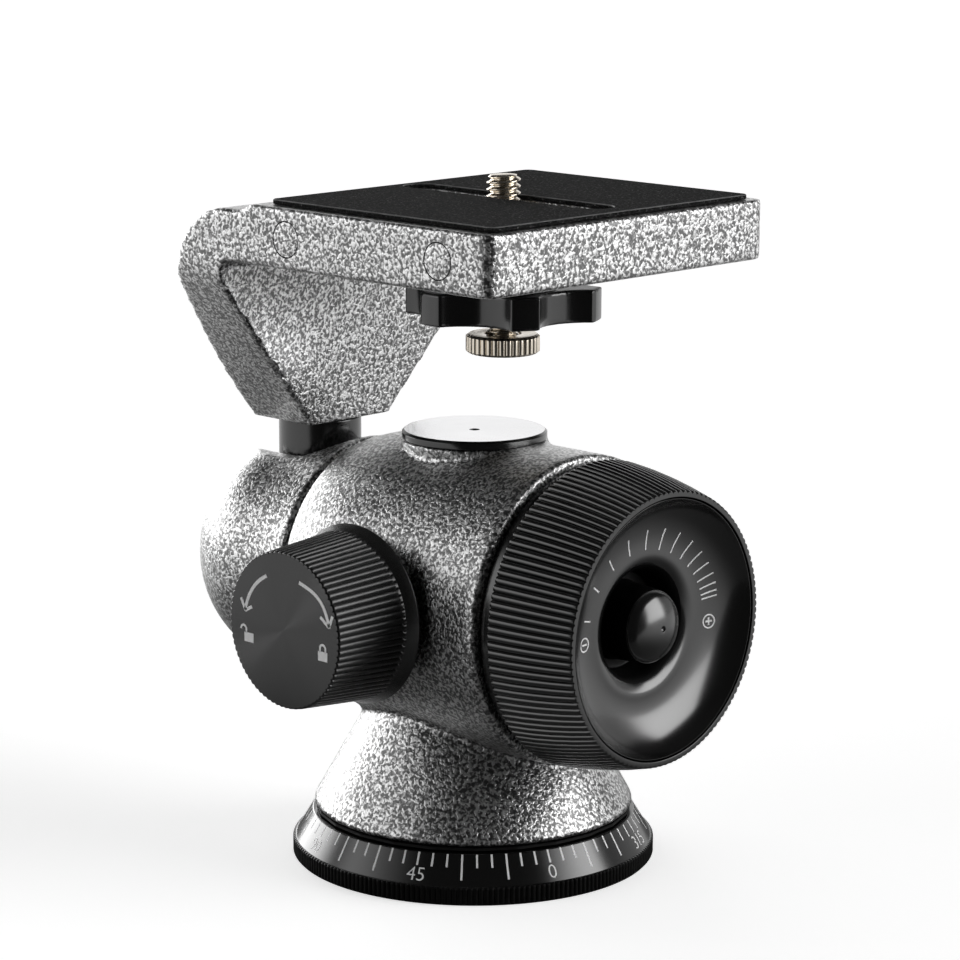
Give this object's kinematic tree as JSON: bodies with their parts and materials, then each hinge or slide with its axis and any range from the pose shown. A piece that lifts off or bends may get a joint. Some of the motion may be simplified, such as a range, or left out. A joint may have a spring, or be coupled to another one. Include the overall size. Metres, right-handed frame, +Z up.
{
  "type": "ball head",
  "caption": "Camera ball head with a conical pan base, a tilt-lock dial knob, a pan-lock knob and an offset camera platform on an arm with a slotted screw.",
  "frame": {"origin": "on the pan axis at the underside of the base, at the mouth of the tripod socket", "axes": "+Z up along the pan axis, +X towards the tilt-lock knob, -Y towards the pan-lock knob"},
  "size_m": [0.1144, 0.087, 0.1322],
  "materials": {
    "hammertone": "cast aluminium with silver and black hammertone paint",
    "black_anodised": "turned aluminium, black anodised, satin",
    "gloss_black": "glossy black moulding",
    "turned_metal": "bright turned aluminium",
    "nickel": "nickel-plated steel",
    "steel": "machined steel",
    "brass": "machined brass",
    "rubber": "black rubber with fine speckle",
    "nylon": "black nylon",
    "white_marks": "white printed marks",
    "dark_marks": "dark filled scale marks"
  },
  "bodies": {
    "base": {"base_ring": "black_anodised", "tripod_socket": "brass", "pan_spindle": "steel", "glide_ring": "nylon", "base_screw_1": "steel", "base_screw_2": "steel", "base_screw_3": "steel"},
    "head": {"housing": "hammertone", "pan_retaining_ring": "steel", "top_disc": "turned_metal", "tilt_bush": "black_anodised", "cap_snap_ring": "steel"},
    "tilt_push": {"piston": "steel", "ball_cup": "nylon"},
    "tilt_turn": {"tilt_knob": "black_anodised", "tilt_dial": "gloss_black", "tilt_screw": "steel"},
    "pan_push": {"pan_wedge": "steel"},
    "pan_turn": {"pan_knob": "black_anodised", "pan_screw": "steel"},
    "pan_brake": {"pan_brake_pin": "brass"},
    "cap_turn": {"ball_cap": "hammertone"},
    "ball_swing": {"ball": "turned_metal"},
    "platform": {"stem": "black_anodised", "stem_stud": "steel", "bracket": "hammertone", "bracket_plug_1": "hammertone", "bracket_plug_2": "hammertone", "platform_pad": "rubber"},
    "slot_slide": {"slot_washer": "steel"},
    "nut_turn": {"star_nut": "black_anodised"},
    "screw_turn": {"camera_screw": "nickel", "screw_knob": "nickel"}
  },
  "joints": [
    {"name": "pan", "type": "hinge", "parent": "base", "child": "head", "pos_m": [0, 0, 0.01], "axis": [0, 0, 1], "continuous": true},
    {"name": "tilt_piston_slide", "type": "slide", "parent": "head", "child": "tilt_push", "axis": [1, 0, 0], "range_m": [0, 0.00113]},
    {"name": "tilt_lock", "type": "hinge", "parent": "tilt_push", "child": "tilt_turn", "pos_m": [0.031, 0, 0.0526], "axis": [1, 0, 0], "range_deg": [0, 270]},
    {"name": "pan_wedge_slide", "type": "slide", "parent": "head", "child": "pan_push", "axis": [0, -1, 0], "range_m": [0, 0.00051]},
    {"name": "pan_lock", "type": "hinge", "parent": "pan_push", "child": "pan_turn", "pos_m": [0, -0.0304, 0.0526], "axis": [0, -1, 0], "range_deg": [0, 180]},
    {"name": "pan_brake_slide", "type": "slide", "parent": "head", "child": "pan_brake", "axis": [0, 0, 1], "range_m": [0, 0.00051]},
    {"name": "cap_turn", "type": "hinge", "parent": "head", "child": "cap_turn", "pos_m": [-0.04286, 0, 0.0526], "axis": [1, 0, 0], "range_deg": [-90, 60]},
    {"name": "ball_swing", "type": "hinge", "parent": "cap_turn", "child": "ball_swing", "pos_m": [-0.04286, 0, 0.0526], "axis": [0, -1, 0], "range_deg": [0, 90]},
    {"name": "platform_spin", "type": "hinge", "parent": "ball_swing", "child": "platform", "pos_m": [-0.04286, 0, 0.0803], "axis": [0, 0, 1], "continuous": true},
    {"name": "slot_slide", "type": "slide", "parent": "platform", "child": "slot_slide", "axis": [1, 0, 0], "range_m": [-0.0185, 0.022]},
    {"name": "star_nut_turn", "type": "hinge", "parent": "slot_slide", "child": "nut_turn", "pos_m": [0.0073, 0, 0.1118], "axis": [0, 0, 1], "continuous": true},
    {"name": "camera_screw_turn", "type": "hinge", "parent": "slot_slide", "child": "screw_turn", "pos_m": [0.0073, 0, 0.1025], "axis": [0, 0, 1], "continuous": true}
  ],
  "couplings": [
    {"joint": "tilt_piston_slide", "follows": "tilt_lock", "m_per_rad": 0.00023873},
    {"joint": "pan_wedge_slide", "follows": "pan_lock", "m_per_rad": 0.00015915},
    {"joint": "pan_brake_slide", "follows": "pan_lock", "m_per_rad": 0.00015915}
  ]
}
